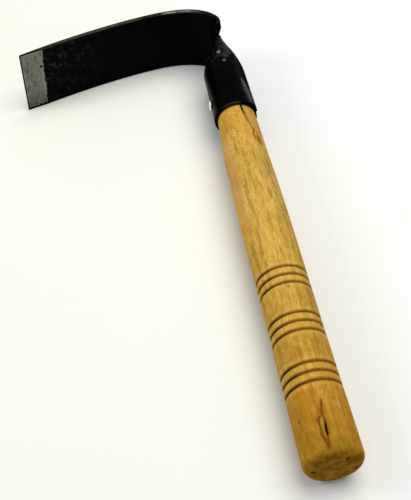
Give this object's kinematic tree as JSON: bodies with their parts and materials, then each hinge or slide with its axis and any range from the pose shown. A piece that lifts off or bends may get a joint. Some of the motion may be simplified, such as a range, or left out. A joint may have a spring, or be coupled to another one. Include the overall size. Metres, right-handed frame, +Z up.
{
  "type": "hand hoe",
  "caption": "Short-handled hand hoe with a curved steel blade welded into a pinched steel socket on a turned wooden handle.",
  "frame": {"origin": "on the ground, under the middle of the tool's box, with the tool lying on its side", "axes": "+Y along the handle from the butt to the blade, +Z up, the blade pointing towards -X"},
  "size_m": [0.1654, 0.3772, 0.0505],
  "materials": {
    "honey_wood": "semi-gloss",
    "black_enamel": "gloss",
    "weld_metal": "satin",
    "bright_steel": "satin"
  },
  "bodies": {
    "root": {"handle": "honey_wood", "socket": "black_enamel", "blade": "black_enamel", "upper_seam_weld": "weld_metal", "lower_seam_weld": "weld_metal", "nail": "bright_steel"}
  },
  "joints": []
}
